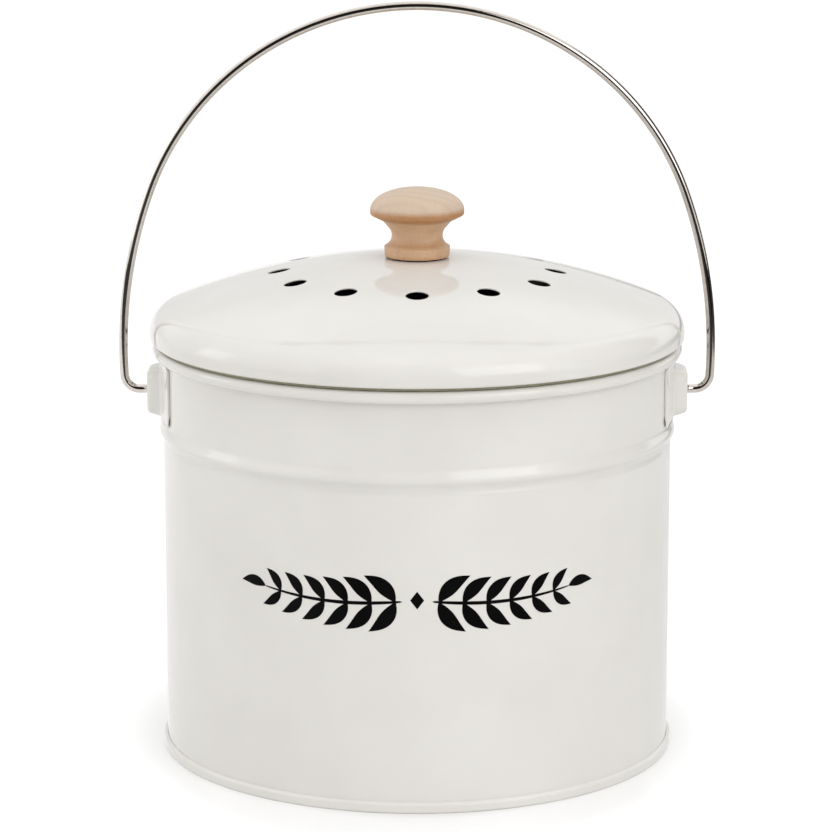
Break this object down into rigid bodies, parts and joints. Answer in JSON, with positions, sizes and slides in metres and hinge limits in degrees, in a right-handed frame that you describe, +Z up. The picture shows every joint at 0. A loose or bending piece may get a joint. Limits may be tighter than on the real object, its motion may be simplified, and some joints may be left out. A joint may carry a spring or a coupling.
{
  "type": "compost caddy",
  "caption": "Round enamelled countertop compost caddy with a lift-off vented domed lid, turned wooden knob, swinging wire bail and a charcoal filter under the lid.",
  "frame": {"origin": "middle of the foot, on the surface the caddy stands on", "axes": "+Z up along the pail's axis, front towards -Y, the bail's ears on +X and -X"},
  "size_m": [0.2346, 0.2098, 0.2945],
  "materials": {
    "enamel": "glossy off-white vitreous enamel on steel sheet",
    "bright_wire": "bright drawn stainless wire",
    "gasket": "translucent olive-grey silicone, satin",
    "beech": "turned pale beech, thin satin lacquer",
    "dark_washer": "matte rubber",
    "zinc": "zinc plated, satin",
    "black_plastic": "moulded, fine matte grain",
    "charcoal": "charcoal-filled fibre felt"
  },
  "bodies": {
    "pail": {"pail_wall": "enamel", "pail_base": "enamel", "ear_left": "enamel", "ear_right": "enamel"},
    "bail": {"bail": "bright_wire"},
    "lid": {"lid_shell": "enamel", "lid_collar": "enamel", "lid_gasket": "gasket", "lid_knob": "beech", "knob_washer": "dark_washer", "knob_screw": "zinc", "screw_washer": "zinc", "filter_housing": "black_plastic"},
    "filter": {"filter_grille": "black_plastic", "charcoal_pad": "charcoal"}
  },
  "joints": [
    {"name": "bail_swing", "type": "hinge", "parent": "pail", "child": "bail", "pos_m": [0, 0, 0.142], "axis": [1, 0, 0], "range_deg": [-136.5, 136.5]},
    {"name": "lid_lift", "type": "slide", "parent": "pail", "child": "lid", "axis": [0, 0, 1], "range_m": [0, 0.04]},
    {"name": "filter_twist", "type": "hinge", "parent": "lid", "child": "filter", "pos_m": [0, 0, 0.168], "axis": [0, 0, 1], "range_deg": [0, 20]}
  ]
}
